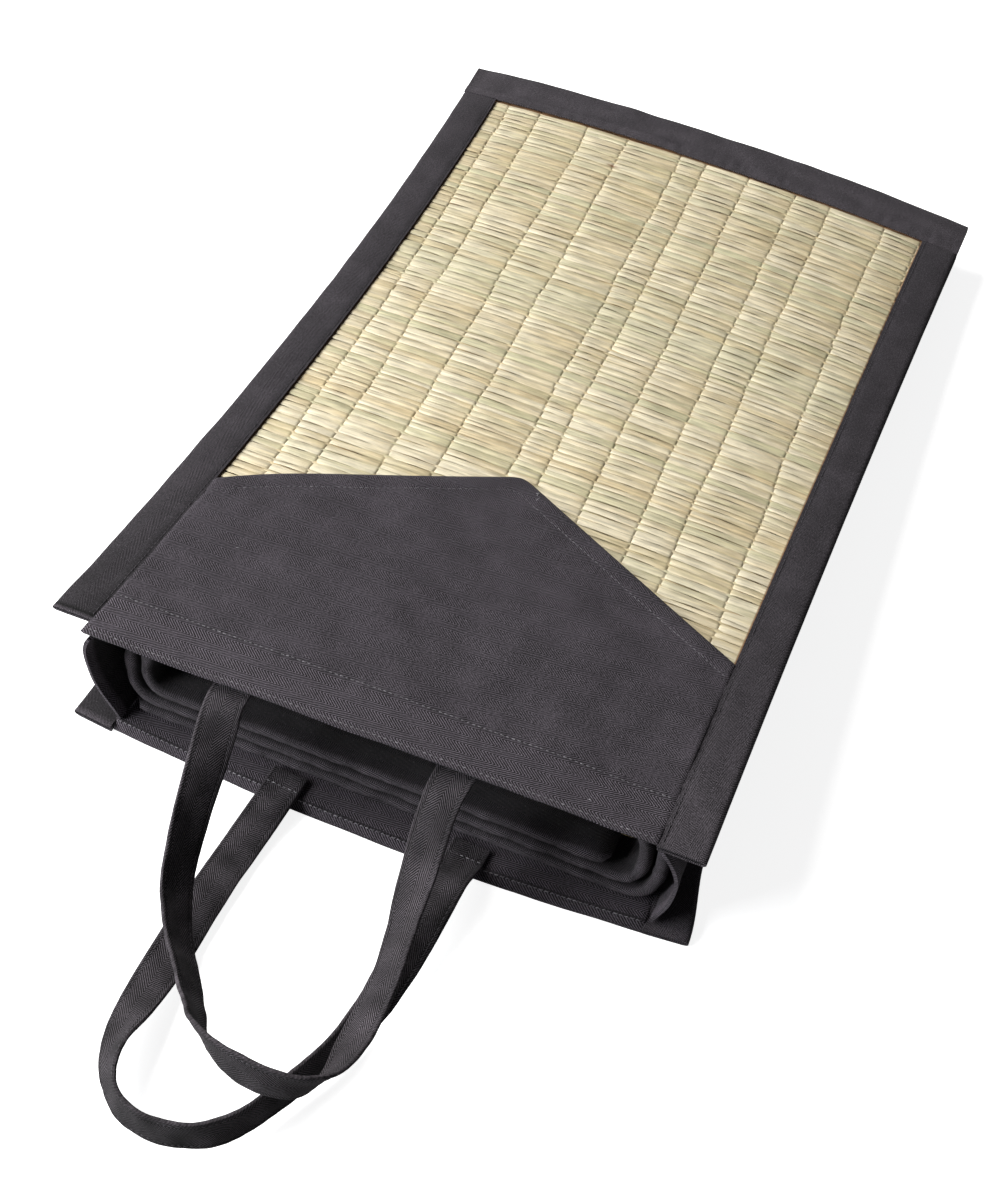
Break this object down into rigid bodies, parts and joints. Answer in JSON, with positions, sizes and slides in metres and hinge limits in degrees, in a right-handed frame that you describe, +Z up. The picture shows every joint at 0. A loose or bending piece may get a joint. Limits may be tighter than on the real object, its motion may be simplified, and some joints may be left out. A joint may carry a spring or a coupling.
{
  "type": "rolled grass yoga mat in its carry bag",
  "caption": "Woven grass yoga mat rolled flat inside a bound, gusseted grass and twill carry bag, lying on its side with strap handles in front.",
  "frame": {"origin": "under the middle of the whole object's box, on the surface that it lies on", "axes": "+X across the bag to the right seen from the mouth, +Y from the mouth to the closed back, +Z up"},
  "size_m": [0.4076, 0.8665, 0.0951],
  "materials": {
    "grass": "woven dry grass, slightly glossy",
    "twill": "matt charcoal cotton herringbone twill",
    "tape": "matt charcoal cotton binding tape and strap"
  },
  "bodies": {
    "root": {"top_grass": "grass", "top_yoke": "twill", "top_binding_left": "tape", "top_binding_right": "tape", "top_binding_back": "tape", "bottom_grass": "grass", "bottom_yoke": "twill", "bottom_binding_left": "tape", "bottom_binding_right": "tape", "bottom_binding_back": "tape", "gusset_left": "twill", "gusset_right": "twill", "gusset_back": "twill", "mat_roll": "grass", "mat_front_binding": "tape", "mat_outer_end_binding": "tape", "mat_core_end_binding": "tape", "handle_top": "tape", "handle_bottom": "tape"}
  },
  "joints": []
}
